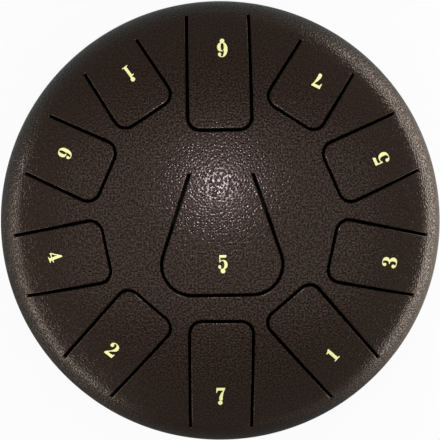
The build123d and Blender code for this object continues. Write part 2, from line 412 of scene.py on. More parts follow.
def bead_tree():
    """Sweeps a weld bead round a circle, with the ripples of a steady weld."""
    lengths = ("Path Radius", "Proud", "Half Height", "Height", "Ripple")
    bench, given, output = geometry_tree("bead_tree", lengths, ("Points", "Ripples"))
    math = bench.math
    circle_kind = "GeometryNodeCurvePrimitiveCircle"
    path = bench.node(circle_kind, {"Resolution": given["Points"], "Radius": given["Path Radius"]})
    upright = bench.node("GeometryNodeSetCurveNormal", {"Curve": path.outputs["Curve"]}, mode="Z_UP")
    section = bench.node(circle_kind, {"Resolution": BEAD_SIDES, "Radius": 1.0})
    shape = bench.combine(X=given["Proud"], Y=given["Half Height"], Z=1.0)
    oval = bench.node("GeometryNodeTransform", {"Geometry": section.outputs["Curve"], "Scale": shape})
    rails = {"Curve": upright.outputs["Curve"], "Profile Curve": oval.outputs["Geometry"]}
    swept = bench.node("GeometryNodeCurveToMesh", rails)
    place = bench.node("GeometryNodeInputPosition").outputs["Position"]
    x, y, z = bench.split(place)
    turn = math("ARCTAN2", y, x)
    wave = math("SINE", math("MULTIPLY", turn, given["Ripples"]))
    shrink = math("MULTIPLY", math("SUBTRACT", wave, 1.0), given["Ripple"])
    flat = bench.combine(X=x, Y=y)
    outward = bench.node("ShaderNodeVectorMath", {0: flat}, operation="NORMALIZE").outputs["Vector"]
    pull = bench.node("ShaderNodeVectorMath", {0: outward, "Scale": shrink}, operation="SCALE")
    lift = bench.combine(Z=given["Height"])
    offset = bench.node("ShaderNodeVectorMath", {0: pull.outputs["Vector"], 1: lift}, operation="ADD")
    skin = bench.combine(X=math("MULTIPLY", turn, given["Path Radius"]), Y=z)
    marked = bench.mark_skin(swept.outputs["Mesh"], skin)
    moved = bench.node("GeometryNodeSetPosition", {"Geometry": marked, "Offset": offset.outputs["Vector"]})
    return end_tree(bench, given, output, moved.outputs["Geometry"])


def foot_ring_tree():
    """Seats a piece square to the bottom bowl and repeats it round the drum."""
    bench, given, output = geometry_tree("foot_ring_tree", ("Circle", "Seat Height", "Tilt"), ("Count",))
    math = bench.math
    turned = bench.combine(X=math("ADD", given["Tilt"], pi))
    seat = bench.combine(Y=given["Circle"], Z=given["Seat Height"])
    put = {"Geometry": given["Geometry"], "Translation": seat, "Rotation": turned}
    seated = bench.node("GeometryNodeTransform", put)
    axis_points = bench.node("GeometryNodeMeshLine", {"Count": given["Count"], "Offset": (0, 0, 0)})
    index = bench.node("GeometryNodeInputIndex").outputs["Index"]
    step = math("DIVIDE", -2 * pi, given["Count"])
    around = bench.combine(Z=math("MULTIPLY", index, step))
    ring = bench.node(
        "GeometryNodeInstanceOnPoints",
        {"Points": axis_points.outputs["Mesh"], "Instance": seated.outputs["Geometry"], "Rotation": around},
    )
    return end_tree(bench, given, output, ring.outputs["Instances"])


def kept(collection, make):
    """The tree or material that a function makes, made once under the function's name."""
    return collection.get(make.__name__) or make()


def evaluated_mesh(obj):
    """A plain mesh of an object, as its modifiers make it."""
    graph = bpy.context.evaluated_depsgraph_get()
    return bpy.data.meshes.new_from_object(obj.evaluated_get(graph), depsgraph=graph)


def run_tree(obj, make, **values):
    """Runs the tree that a function makes on an object, and keeps the result as its plain mesh."""
    tree = kept(bpy.data.node_groups, make)
    modifier = obj.modifiers.new(tree.name, "NODES")
    modifier.node_group = tree
    for item in tree.interface.items_tree:
        key = item.name.lower().replace(" ", "_")
        if item.in_out == "INPUT" and key in values:
            modifier[item.identifier] = values[key]
    mesh = evaluated_mesh(obj)
    obj.modifiers.clear()
    blank = obj.data
    obj.data = mesh
    mesh.name = obj.name
    bpy.data.meshes.remove(blank)


def new_piece(name, mesh):
    """Links a mesh into the scene as one object at the origin."""
    obj = bpy.data.objects.new(name, mesh)
    bpy.context.scene.collection.objects.link(obj)
    return obj


def hand_over(obj, body, slot, *nodes):
    """Puts a finished piece on its body, in place of its CAD nodes."""
    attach(obj, body)
    if nodes:
        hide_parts(*nodes)


# Finishes


def new_finish(name):
    """A new material. Returns it with its bench, its shader and the object's own coordinates."""
    material = bpy.data.materials.new(name)
    material.use_nodes = True
    bench = Bench(material.node_tree)
    shader = material.node_tree.nodes["Principled BSDF"]
    return material, bench, shader, bench.node("ShaderNodeTexCoord").outputs["Object"]


def opaque(colour):
    """A colour with its alpha."""
    return (*colour, 1.0)


# Hammertone: a pit's radius in pitches, its depth in pit depths, and how faint the painted shade in its
# middle may be
PIT_RADIUS = (0.5, 0.75)
PIT_DEPTHS = (0.55, 1.3)
PIT_MIDDLE = (0.1, 0.9)
FAINTEST_PIT = 0.7

# Swells to a pit's pitch, their detail, their height in pit depths, and where a swell carries a fleck
SWELLS = 1.5
SWELL_DETAIL = 0.5
SWELL_HEIGHT = 0.2
FLECK_BAND = (0.45, 0.6)

# Ways down the surface from the crown, in metres: where pits and flecks fade, and where the pits deepen
FADE_BAND = (0.07, 0.115)
FADE_SHARE = 0.5
FADED_FLECK = 0.5
DEEPER_BAND = (0.118, 0.135)
DEEPER_PITS = 3.0

# Sheen: cloudy roughness, and a clear coat that is fullest on the swells and missing from the pits
CLOUDS_PER_METRE = 28.0
CLOUD_DETAIL = 3.0
CLOUD_BAND = (0.3, 0.7)
SHEEN_ROUGHNESS = (0.24, 0.3)
COAT = 0.22
COAT_SWELL_BAND = (0.4, 0.62)
COAT_ON_SWELLS = (0.3, 1.7)
COAT_PIT_BAND = (0.15, 0.6)
COAT_ROUND_PITS = 1.25

# Edge shares over which the paint gives way to bare steel.
# Bare steel is coloured near-black: partly dark scale, partly painted shade in the slots and inside the
# drum.
BARE_AND_SHADED_BAND = (0.6, 1.0)


def hammertone_enamel():
    """Dark bronze hammertone enamel: a glossy skin that flows in low swells round small, dull, dished pits.

    Its pattern lies on the unrolled surface and fades down the dome.
    Its pits deepen on the steep shoulder, and their middles carry painted shade.
    """
    finishes = bpy.context.scene.drum_finishes
    material, bench, shader, place = new_finish("hammertone_enamel")
    math, smooth_range = bench.math, bench.smooth_range
    skin = bench.node("ShaderNodeAttribute", attribute_name="skin").outputs["Vector"]
    edge = bench.node("ShaderNodeAttribute", attribute_name="cut_edge").outputs["Fac"]
    way_down = bench.length(skin)
    bare_and_shaded = smooth_range(edge, *BARE_AND_SHADED_BAND)

    grid = {"Vector": skin, "Scale": 1 / finishes.pit_pitch, "Randomness": 1.0}
    pits = bench.node("ShaderNodeTexVoronoi", grid, voronoi_dimensions="2D").outputs
    lot = bench.node("ShaderNodeSeparateColor", {"Color": pits["Color"]}).outputs
    radius = smooth_range(lot["Red"], 0.0, 1.0, *PIT_RADIUS)
    way_out = math("MINIMUM", math("DIVIDE", pits["Distance"], radius), 1.0)
    depth = smooth_range(lot["Green"], 0.0, 1.0, *PIT_DEPTHS)
    hollow = math("MULTIPLY", smooth_range(math("SUBTRACT", 1.0, way_out), 0.0, 1.0), depth)
    swell = bench.noise(skin, SWELLS / finishes.pit_pitch, SWELL_DETAIL)

    grain = math("SUBTRACT", math("MULTIPLY", swell, SWELL_HEIGHT), hollow)
    deepened = math("MULTIPLY", grain, smooth_range(way_down, *DEEPER_BAND, 1.0, DEEPER_PITS))
    height = math("MULTIPLY", deepened, smooth_range(edge, 0.0, PAINTED_EDGE, 1.0, 0.0))
    normal = bench.bump(height, finishes.pit_depth)
    bench.feed(shader.inputs["Normal"], normal)
    bench.feed(shader.inputs["Coat Normal"], normal)

    faded = smooth_range(way_down, *FADE_BAND, 0.0, FADE_SHARE)
    faint = math("MAXIMUM", faded, smooth_range(lot["Blue"], 0.0, 1.0, 0.0, FAINTEST_PIT))
    # Painted shade: each pit's middle is coloured darker, for the shade in the hollow
    pit_shade_share = smooth_range(way_out, *PIT_MIDDLE, faint, 1.0)
    pit_shaded = bench.blend(pit_shade_share, opaque(finishes.paint_pit), opaque(finishes.paint))
    least, most = math("MULTIPLY", faded, FADED_FLECK), math("SUBTRACT", 1.0, faded)
    fleck = smooth_range(swell, *FLECK_BAND, least, most)
    flecked = bench.blend(fleck, pit_shaded, opaque(finishes.paint_fleck))
    # The cut walls and inner faces take the near-black colour: partly dark scale, partly painted shade
    bench.feed(shader.inputs["Base Color"], bench.blend(bare_and_shaded, flecked, opaque(finishes.cut_wall)))

    cloud = bench.noise(place, CLOUDS_PER_METRE, CLOUD_DETAIL)
    sheen = smooth_range(cloud, *CLOUD_BAND, *SHEEN_ROUGHNESS)
    bench.feed(shader.inputs["Roughness"], math("MAXIMUM", sheen, bare_and_shaded))
    gloss = smooth_range(swell, *COAT_SWELL_BAND, *COAT_ON_SWELLS)
    glaze = math("MULTIPLY", gloss, smooth_range(way_out, *COAT_PIT_BAND, 0.0, COAT_ROUND_PITS))
    coat = math("MULTIPLY", glaze, smooth_range(edge, *BARE_AND_SHADED_BAND, COAT, 0.0))
    bench.feed(shader.inputs["Coat Weight"], coat)
    shader.inputs["Coat Roughness"].default_value = 0.13
    shader.inputs["Specular IOR Level"].default_value = 0.1
    shader.inputs["Metallic"].default_value = 0.25
    return material


def yellow_film():
    """Satin yellow film with a faint grain."""
    finishes = bpy.context.scene.drum_finishes
    material, bench, shader, place = new_finish("yellow_film")
    grain = bench.noise(place, scale=1400.0, detail=2.0)
    paler = [(1.0 + part) / 2 for part in finishes.film]
    fade = bench.smooth_range(grain, low=0.35, high=0.75, top=0.5)
    bench.feed(shader.inputs["Base Color"], bench.blend(fade, opaque(finishes.film), opaque(paler)))
    bench.feed(shader.inputs["Normal"], bench.bump(grain, depth=0.00002, strength=0.4))
    shader.inputs["Roughness"].default_value = 0.5
    return material


def moulded_rubber():
    """Matte moulded rubber with a fine grain and dust in its hollows."""
    finishes = bpy.context.scene.drum_finishes
    material, bench, shader, place = new_finish("moulded_rubber")
    grain = bench.noise(place, scale=1800.0, detail=3.0)
    dust = bench.noise(place, scale=90.0, detail=4.0)
    dust_pallor = 0.02
    pale = [part + dust_pallor for part in finishes.rubber]
    dusty = bench.smooth_range(dust, low=0.45, high=0.75)
    roughness = bench.smooth_range(dust, low=0.3, high=0.7, bottom=0.62, top=0.82)
    bench.feed(shader.inputs["Base Color"], bench.blend(dusty, opaque(finishes.rubber), opaque(pale)))
    bench.feed(shader.inputs["Roughness"], roughness)
    bench.feed(shader.inputs["Normal"], bench.bump(grain, depth=0.00006, strength=0.6))
    return material


def zinc_plate():
    """Bright zinc plate with a soft bloom."""
    finishes = bpy.context.scene.drum_finishes
    material, bench, shader, place = new_finish("zinc_plate")
    bloom = bench.noise(place, scale=260.0, detail=4.0)
    bloomed = [part * share for part, share in zip(finishes.zinc, finishes.zinc_bloom)]
    cloudy = bench.smooth_range(bloom, low=0.4, high=0.75)
    roughness = bench.smooth_range(bloom, low=0.3, high=0.7, bottom=0.26, top=0.42)
    bench.feed(shader.inputs["Base Color"], bench.blend(cloudy, opaque(finishes.zinc), opaque(bloomed)))
    bench.feed(shader.inputs["Roughness"], roughness)
    bench.feed(shader.inputs["Normal"], bench.bump(bloom, depth=0.00003, strength=0.3))
    shader.inputs["Metallic"].default_value = 1.0
    return material


def finish(make):
    """The material that a function makes."""
    return kept(bpy.data.materials, make)


# Flat blanks


class Tongue(NamedTuple):
    """A tongue in plan: the ways along and across it, its root, free end, half width, flare and corner."""

    name: str
    along: Vector
    across: Vector
    root: float
    end: float
    half: float
    flare: float
    corner: float

    def at(self, reach, aside):
        """Plan point at a distance along the tongue and to its side."""
        return self.along * reach + self.across * aside


def read_tongues(sheet):
    """The tongues' places, from the joints and the solids in the frame."""
    tongues = []
    for joint in JOINTS:
        name = joint["child"]
        along = Vector((joint["axis"][1], -joint["axis"][0]))
        across = Vector((-along.y, along.x))
        root = Vector(joint["pos_m"][:2]).dot(along)
        plan = [point.co.xy for point in frame["nodes"][name].data.vertices]
        end = min(point.dot(along) for point in plan)
        half = max(abs(point.dot(across)) for point in plan if point.dot(along) > root - sheet.slot)
        centred = name == CENTRE_TONGUE
        flare = sheet.centre_flare if centred else 0.0
        corner = sheet.centre_corner if centred else sheet.corner
        tongues.append(Tongue(name, along, across, root, end, half, flare, corner))
    return tongues


def blade_path(tongue, grow, root, pitch):
    """Plan points round a tongue's free end, from one side of its root to the other, grown outwards."""
    turn = pi / 2 + tongue.flare
    arc_count = ceil(2 * tongue.corner * turn / pitch)
    side_count = ceil((tongue.root - tongue.end) / pitch)
    end_count = ceil(2 * tongue.half / pitch)
    arc_along = tongue.end + tongue.corner
    arc_edge = tongue.half + (tongue.root - arc_along) * tan(tongue.flare)
    arc_side = arc_edge - tongue.corner / cos(tongue.flare)
    radius = tongue.corner + grow
    first = pi / 2 - tongue.flare
    arc = []
    for index in range(arc_count + 1):
        angle = first + turn * index / arc_count
        arc.append((arc_along + radius * cos(angle), arc_side + radius * sin(angle)))
    root_side = tongue.half + (tongue.root - root) * tan(tongue.flare) + grow / cos(tongue.flare)
    half_path = []
    for index in range(side_count):
        share = index / side_count
        half_path.append((root + (arc[0][0] - root) * share, root_side + (arc[0][1] - root_side) * share))
    half_path += arc
    tip, tip_side = arc[-1]
    across_end = [(tip, tip_side * (1 - 2 * index / end_count)) for index in range(1, end_count)]
    mirrored = [(reach, -aside) for reach, aside in reversed(half_path)]
    return [tongue.at(reach, aside) for reach, aside in half_path + across_end + mirrored]


def full_turn(count):
    """Angles in even steps round a full turn."""
    return [2 * pi * index / count for index in range(count)]


class SlotCut:
    """The slot round a tongue. The first half of its outline edges the sheet, the second half the tongue."""

    def __init__(self, tongue, sheet):
        self.tongue = tongue
        self.slot = sheet.slot
        self.pitch = sheet.top_pitch
        self.count = len(blade_path(tongue, 0.0, tongue.root, self.pitch))

    def outline(self, inset):
        """Closed outline, moved into the metal by an inset."""
        root = self.tongue.root + inset
        outer = blade_path(self.tongue, self.slot + inset, root, self.pitch)
        inner = blade_path(self.tongue, -inset, root, self.pitch)
        return outer + inner[::-1]

    def seam(self, inset):
        """Points on the root line between the slot's ends, from the outline's last point to its middle."""
        outline = self.outline(inset)
        first, last = outline[-1], outline[self.count]
        steps = ceil((last - first).length / self.pitch)
        return [first.lerp(last, index / steps) for index in range(1, steps)]


class RoundCut:
    """A round hole."""

    def __init__(self, centre, radius, pitch):
        self.centre = Vector(centre)
        self.radius = radius
        self.count = max(HOLE_POINTS, ceil(2 * pi * radius / pitch))

    def outline(self, inset):
        """Closed outline, moved into the metal by an inset."""
        radius = self.radius + inset
        return [self.centre + Vector((cos(turn), sin(turn))) * radius for turn in full_turn(self.count)]


def turning(loop):
    """Twice the signed area of a closed outline: positive when it runs counter-clockwise."""
    return sum(a.x * b.y - b.x * a.y for a, b in zip(loop, loop[1:] + loop[:1]))


def lattice(reach, pitch, keep_off):
    """Points of a triangular grid inside a circle, clear of the given points."""
    tree = KDTree(len(keep_off))
    for index, point in enumerate(keep_off):
        tree.insert((*point, 0), index)
    tree.balance()
    rise = pitch * sqrt(3) / 2
    rows = ceil(reach / rise)
    columns = ceil(reach / pitch) + 1
    points = []
    for row in range(-rows, rows + 1):
        for column in range(-columns, columns + 1):
            point = Vector(((column + 0.5 * (row % 2)) * pitch, row * rise))
            if point.length < reach and tree.find((*point, 0))[2] > GRID_CLEARANCE * pitch:
                points.append(point)
    return points


class Plan(NamedTuple):
    """A triangulated plan: its points, those of each outline, its triangles, and the outlines round each."""

    points: list
    loops: list
    triangles: list
    owners: list


def triangulate(loops, middle, reach, pitch):
    """Triangulates closed outlines, with an even grid between them up to a reach from a middle point."""
    points = []
    loop_ids = []
    for loop in loops:
        loop_ids.append(range(len(points), len(points) + len(loop)))
        points += loop
    faces = [list(ids if turning(loop) > 0 else ids[::-1]) for ids, loop in zip(loop_ids, loops)]
    grid = lattice(reach, pitch, [point - middle for point in points])
    points += [middle + point for point in grid]
    found, _, triangles, origins, _, owners = delaunay_2d_cdt(points, [], faces, 0, PLAN_EPSILON)
    where = {given: index for index, givens in enumerate(origins) for given in givens}
    placed = [[where[given] for given in ids] for ids in loop_ids]
    return Plan(found, placed, triangles, owners)


def finished_mesh(made, name):
    """The mesh of a closed shape in the making, with smooth faces that point outwards."""
    bmesh.ops.recalc_face_normals(made, faces=made.faces[:])
    for face in made.faces:
        face.smooth = True
    mesh = bpy.data.meshes.new(name)
    made.to_mesh(mesh)
    made.free()
    return mesh


class Plate:
    """A flat closed plate in the making: skins over plan triangles, at top and bottom, and walls between."""

    def __init__(self, points, triangles, top, bottom):
        self.mesh = bmesh.new()
        self.edge_layer = self.mesh.verts.layers.float.new("cut_edge")
        used = sorted({index for triangle in triangles for index in triangle})
        self.top = {index: self.mesh.verts.new((*points[index], top)) for index in used}
        # The inner faces take the full cut share, so the paint colours them near-black: partly dark scale,
        # partly painted shade
        self.bottom = {index: self.edge_point(points[index], bottom, SHADED_BARE_STEEL) for index in used}
        for triangle in triangles:
            self.mesh.faces.new([self.top[index] for index in triangle])
            self.mesh.faces.new([self.bottom[index] for index in reversed(triangle)])

    def edge_point(self, place, depth, share):
        """A wall point, marked with its share of the cut edge."""
        made = self.mesh.verts.new((*place, depth))
        made[self.edge_layer] = share
        return made

    def strip(self, columns):
        """Faces between neighbouring columns of points."""
        for left, right in zip(columns, columns[1:]):
            for step in range(len(left) - 1):
                self.mesh.faces.new((left[step], right[step], right[step + 1], left[step + 1]))

    def cap(self, corners):
        """A flat face with sharp edges, where two pieces meet."""
        for edge in self.mesh.faces.new(corners).edges:
            edge.smooth = False

    def meet(self, chain):
        """Upright faces along a chain of plan points, where the sheet runs on into another piece."""
        for here, there in zip(chain, chain[1:]):
            self.cap((self.top[here], self.top[there], self.bottom[there], self.bottom[here]))


def rounding(radius):
    """Steps over a rounded edge, from a face to the wall: inset into the metal, and drop below the face."""
    angles = [pi / 2 * index / EDGE_BENDS for index in range(EDGE_BENDS + 1)]
    return [(radius * (1 - sin(angle)), radius * (1 - cos(angle))) for angle in angles]


def edge_profile(sheet):
    """Steps over a cut edge, from the outer face to the inner: inset into the metal, depth, edge share."""
    *painted, wall = rounding(sheet.edge)
    outer = [(inset, -drop, PAINTED_EDGE) for inset, drop in painted] + [(wall[0], -wall[1], SHADED_BARE_STEEL)]
    inside = reversed(rounding(sheet.inner_edge))
    inner = [(inset, drop - sheet.thickness, SHADED_BARE_STEEL) for inset, drop in inside]
    return outer + inner


def edge_columns(plate, cut, ids, guard_ids, profile):
    """Columns of points over a cut's edge, for the given points of its outline."""
    outlines = [(cut.outline(inset), depth, share) for inset, depth, share in profile]
    columns = []
    for index in ids:
        wall = [plate.edge_point(outline[index], depth, share) for outline, depth, share in outlines]
        columns.append([plate.top[guard_ids[index]], *wall, plate.bottom[guard_ids[index]]])
    return columns


class Bowl(NamedTuple):
    """Sizes of one pressed bowl."""

    crown: float
    shoulder: float
    roll: float
    rim_height: float
    side: float

    def crown_centre(self):
        """Height of the crown's centre."""
        arm = self.crown - self.shoulder
        sink = sqrt(arm**2 - (SHELL_R - self.shoulder) ** 2)
        return self.rim_height - self.side * sink

    def blank_reach(self, sheet):
        """Distance from the axis to the end of the lip, on the flat blank."""
        roll_turn = asin((self.roll - SHELL_R + self.shoulder) / self.shoulder)
        return self.roll + (pi / 2 - roll_turn) * self.shoulder + sheet.lip


def top_bowl(sheet):
    """Sizes of the top bowl."""
    return Bowl(sheet.top_crown, sheet.top_shoulder, sheet.top_roll, EQUATOR_Z + sheet.lip, 1.0)


def bottom_bowl(sheet):
    """Sizes of the bottom bowl."""
    return Bowl(sheet.bottom_crown, sheet.bottom_shoulder, sheet.bottom_roll, EQUATOR_Z - sheet.lip, -1.0)


def add_rim(plate, bowl, rim_ids, points, sheet, pitch):
    """Rolls the blank's rim: outer face, weld bevel, and inner face back again."""
    end = bowl.blank_reach(sheet)
    count = ceil((end - sheet.lip - bowl.roll) / pitch)
    rolls = [bowl.roll + (end - sheet.lip - bowl.roll) * index / count for index in range(1, count + 1)]
    lip_end = [(end - sheet.bevel, 0.0), (end, sheet.land - sheet.thickness), (end, -sheet.thickness)]
    outer = [(reach, 0.0) for reach in rolls]
    inner = [(reach, -sheet.thickness) for reach in reversed(rolls)]
    rings = [(*ring, 0.0) for ring in outer + lip_end] + [(*ring, SHADED_BARE_STEEL) for ring in inner]
    columns = []
    for index in rim_ids:
        way = Vector(points[index]).normalized()
        ring = [plate.edge_point(way * reach, depth, share) for reach, depth, share in rings]
        columns.append([plate.top[index], *ring, plate.bottom[index]])
    plate.strip(columns + columns[:1])


def circle(radius, count):
    """Plan points of a circle round the axis."""
    return [Vector((radius * cos(turn), radius * sin(turn))) for turn in full_turn(count)]


def pressed_piece(name, plate, bowl, material):
    """A finished plate as one object, pressed into its bowl."""
    piece = new_piece(name, finished_mesh(plate.mesh, name))
    run_tree(piece, press_tree, finish=material, shell_radius=SHELL_R, **bowl._asdict())
    return piece


def flex(blade, tongue, sheet):
    """Bakes a blade's place into its mesh and hides its tongue's CAD node."""
    still = tongue.root - sheet.thickness
    start = tongue.at(still, 0.0)
    end = tongue.at(still - sheet.bend, 0.0)
    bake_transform(blade)
    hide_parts(tongue.name)


class PressTop(bpy.types.Operator):
    """Cuts the top bowl and its eleven tongues from one flat blank, and presses them"""

    bl_idname = "drum.press_top"
    bl_label = "Top bowl and tongues"

    def execute(self, context):
        """Makes one piece for the bowl and one for each tongue."""
        sheet = context.scene.drum_sheet
        bowl = top_bowl(sheet)
        cuts = [SlotCut(tongue, sheet) for tongue in read_tongues(sheet)]
        plan = self.lay_out(sheet, bowl, cuts)
        rim_ids, *slot_ids = plan.loops
        guards, islands = slot_ids[: len(cuts)], slot_ids[len(cuts) :]
        dome_skin, *blade_skins = self.sort_triangles(plan, len(cuts))
        profile = edge_profile(sheet)
        paint = finish(hammertone_enamel)
        dome = Plate(plan.points, dome_skin, 0.0, -sheet.thickness)
        for cut, guard_ids, island_ids, blade_skin in zip(cuts, guards, islands, blade_skins):
            last = 2 * cut.count - 1
            chain = [guard_ids[last], *island_ids[cut.count :], guard_ids[cut.count]]
            blade = Plate(plan.points, blade_skin, 0.0, -sheet.thickness)
            dome_ids = [last, *range(cut.count + 1)]
            blade_ids = range(cut.count, last + 1)
            for plate, ids in ((dome, dome_ids), (blade, blade_ids)):
                columns = edge_columns(plate, cut, ids, guard_ids, profile)
                plate.strip(columns)
                plate.cap(columns[0])
                plate.cap(columns[-1])
                plate.meet(chain)
            name = cut.tongue.name.replace("tongue", "blade")
            flex(pressed_piece(name, blade, bowl, paint), cut.tongue, sheet)
        add_rim(dome, bowl, rim_ids, plan.points, sheet, sheet.top_pitch)
        piece = pressed_piece("dome", dome, bowl, paint)
        hand_over(piece, DRUM, "hammertone_paint", "top_shell")
        return {"FINISHED"}

    def lay_out(self, sheet, bowl, cuts):
        """The blank's plan. Its outlines are the rim, a guard line round each slot, and each tongue."""
        inset = sheet.edge + sheet.guard
        guards = [cut.outline(inset) for cut in cuts]
        islands = [guard[cut.count :] + cut.seam(inset) for cut, guard in zip(cuts, guards)]
        loops = [circle(bowl.roll, sheet.rim_count)] + guards + islands
        return triangulate(loops, AXIS, bowl.roll, sheet.top_pitch)

    def sort_triangles(self, plan, count):
        """The plan's triangles outside the slots: the dome's first, then each tongue's."""
        groups = [[] for _ in range(1 + count)]
        for triangle, owners in zip(plan.triangles, plan.owners):
            in_slot = any(0 < owner <= count for owner in owners)
            tongue = [owner - count for owner in owners if owner > count]
            if not in_slot:
                groups[tongue[0] if tongue else 0].append(triangle)
        return groups


class PressBottom(bpy.types.Operator):
    """Cuts the bottom bowl's blank with its sound hole and screw holes, and presses it"""

    bl_idname = "drum.press_bottom"
    bl_label = "Bottom bowl"

    def execute(self, context):
        """Makes one piece. The press turns the blank over, so its plan is mirrored from front to back."""
        sheet, foot = context.scene.drum_sheet, context.scene.drum_foot
        bowl = bottom_bowl(sheet)
        pitch = sheet.bottom_pitch
        cuts = [RoundCut((0, 0), sheet.sound_hole, pitch)]
        for turn in full_turn(len(FOOT_NODES)):
            cuts.append(RoundCut((foot.circle * sin(turn), -foot.circle * cos(turn)), foot.bore, pitch))
        guards = [cut.outline(sheet.edge + sheet.guard) for cut in cuts]
        plan = triangulate([circle(bowl.roll, sheet.rim_count)] + guards, AXIS, bowl.roll, pitch)
        rim_ids, *cut_ids = plan.loops
        triangles = [triangle for triangle, owners in zip(plan.triangles, plan.owners) if owners == [0]]
        plate = Plate(plan.points, triangles, 0.0, -sheet.thickness)
        profile = edge_profile(sheet)
        for cut, guard_ids in zip(cuts, cut_ids):
            columns = edge_columns(plate, cut, range(cut.count), guard_ids, profile)
            plate.strip(columns + columns[:1])
        add_rim(plate, bowl, rim_ids, plan.points, sheet, pitch)
        piece = pressed_piece("bowl", plate, bowl, finish(hammertone_enamel))
        hand_over(piece, DRUM, "hammertone_paint", "bottom_shell")
        return {"FINISHED"}


class WeldRim(bpy.types.Operator):
    """Lays the painted weld bead round the equator"""

    bl_idname = "drum.weld_rim"
    bl_label = "Rim weld"

    def execute(self, context):
        """Makes one piece from the bead tree."""
        sheet = context.scene.drum_sheet
        path = SHELL_R - sheet.land
        piece = new_piece("weld_bead", bpy.data.meshes.new("weld_bead"))
        run_tree(
            piece,
            bead_tree,
            path_radius=path,
            proud=BEAD_R - path,
            half_height=BEAD_HALF_H,
            height=EQUATOR_Z,
            ripple=sheet.ripple,
            points=BEAD_POINTS,
            ripples=BEAD_RIPPLES,
            finish=finish(hammertone_enamel),
        )
        hand_over(piece, DRUM, "hammertone_paint", "rim_weld")
        return {"FINISHED"}


# Numbers

# Outlines of the digits, in hundredths of their height. Two numbers are a straight stroke's end,
# and six are a curve's two handles and its end. The first outline is the digit, the second its counter.
DIGITS = {
    "1": [
        [
            (10, 0), (57, 0), (57, 5), (49, 6, 44, 8, 44, 16), (44, 100), (37, 100),
            (31, 93, 22, 88, 10, 87), (10, 81), (18, 81, 23, 80, 23, 74), (23, 16),
            (23, 8, 18, 6, 10, 5),
        ],
    ],
    "2": [
        [
            (2, 0), (62, 0), (67, 30), (61, 30), (59, 23, 56, 20, 50, 20), (22, 20),
            (26, 30, 38, 38, 48, 46), (60, 55, 65, 62, 65, 73), (65, 89, 52, 100, 34, 100),
            (16, 100, 4, 89, 4, 76), (4, 68, 9, 63, 16, 63), (23, 63, 27, 68, 27, 74),
            (27, 80, 22, 83, 22, 88), (22, 92, 26, 95, 31, 95), (39, 95, 43, 86, 43, 73),
            (43, 52, 27, 36, 8, 18), (4, 13, 2, 8, 2, 0),
        ],
    ],
    "3": [
        [
            (24, 54), (24, 49), (36, 49, 43, 42, 43, 28), (43, 13, 39, 5, 30, 5), (23, 5, 19, 8, 19, 11),
            (19, 14, 23, 16, 23, 22), (23, 28, 18, 32, 12, 32), (5, 32, 1, 27, 1, 20),
            (1, 8, 14, 0, 32, 0), (54, 0, 67, 11, 67, 28), (67, 41, 59, 50, 46, 53),
            (57, 56, 63, 64, 63, 75), (63, 90, 51, 100, 33, 100), (16, 100, 5, 92, 5, 81),
            (5, 74, 9, 70, 15, 70), (21, 70, 25, 74, 25, 79), (25, 84, 21, 86, 21, 90),
            (21, 93, 26, 95, 31, 95), (38, 95, 41, 88, 41, 76), (41, 62, 36, 54, 24, 54),
        ],
    ],
    "4": [
        [
            (52, 100), (52, 29), (67, 29), (67, 22), (52, 22), (52, 12), (52, 7, 56, 5, 63, 5), (63, 0),
            (20, 0), (20, 5), (28, 5, 32, 7, 32, 12), (32, 22), (0, 22), (0, 29), (43, 100),
        ],
        [
            (9, 29), (32, 29), (32, 67),
        ],
    ],
    "5": [
        [
            (10, 100), (60, 100), (55, 82), (17, 82), (16, 59), (22, 64, 29, 66, 36, 66),
            (54, 66, 66, 52, 66, 33), (66, 12, 52, 0, 32, 0), (14, 0, 2, 8, 2, 19),
            (2, 26, 6, 30, 12, 30), (18, 30, 22, 26, 22, 20), (22, 15, 19, 13, 19, 10),
            (19, 7, 24, 5, 30, 5), (40, 5, 44, 16, 44, 33), (44, 50, 40, 60, 31, 60),
            (24, 60, 18, 56, 15, 50), (9, 50),
        ],
    ],
    "6": [
        [
            (38, 100), (15, 100, 1, 78, 1, 47), (1, 17, 14, 0, 34, 0), (55, 0, 67, 13, 67, 32),
            (67, 51, 57, 62, 43, 62), (34, 62, 28, 58, 24, 52), (24, 80, 29, 95, 39, 95),
            (43, 95, 46, 93, 46, 90), (46, 87, 42, 86, 42, 80), (42, 74, 46, 70, 52, 70),
            (58, 70, 62, 74, 62, 80), (62, 91, 52, 100, 38, 100),
        ],
        [
            (34, 57), (40, 57, 44, 48, 44, 31), (44, 13, 41, 5, 35, 5), (28, 5, 24, 13, 24, 31),
            (24, 48, 28, 57, 34, 57),
        ],
    ],
    "7": [
        [
            (6, 100), (67, 100), (67, 93), (58, 75, 50, 50, 50, 12), (50, 3, 45, 0, 38, 0),
            (31, 0, 26, 4, 26, 12), (26, 40, 40, 62, 54, 80), (22, 80), (14, 80, 11, 72, 10, 62),
            (4, 62),
        ],
    ],
}
DIGIT_SPAN = 100
DIGIT_MIDDLE = (34, 50)

# Points along a curved stroke, and the gap under which an outline's ends are one point, in hundredths
CURVE_POINTS = 9
CLOSED_GAP = 1


class Number(NamedTuple):
    """A number film: its tongue, digit, height, places along and across the tongue, lean, and dot."""

    tongue: str
    digit: str
    height: float
    along: float
    across: float
    lean: float
    dot: float = 0.0


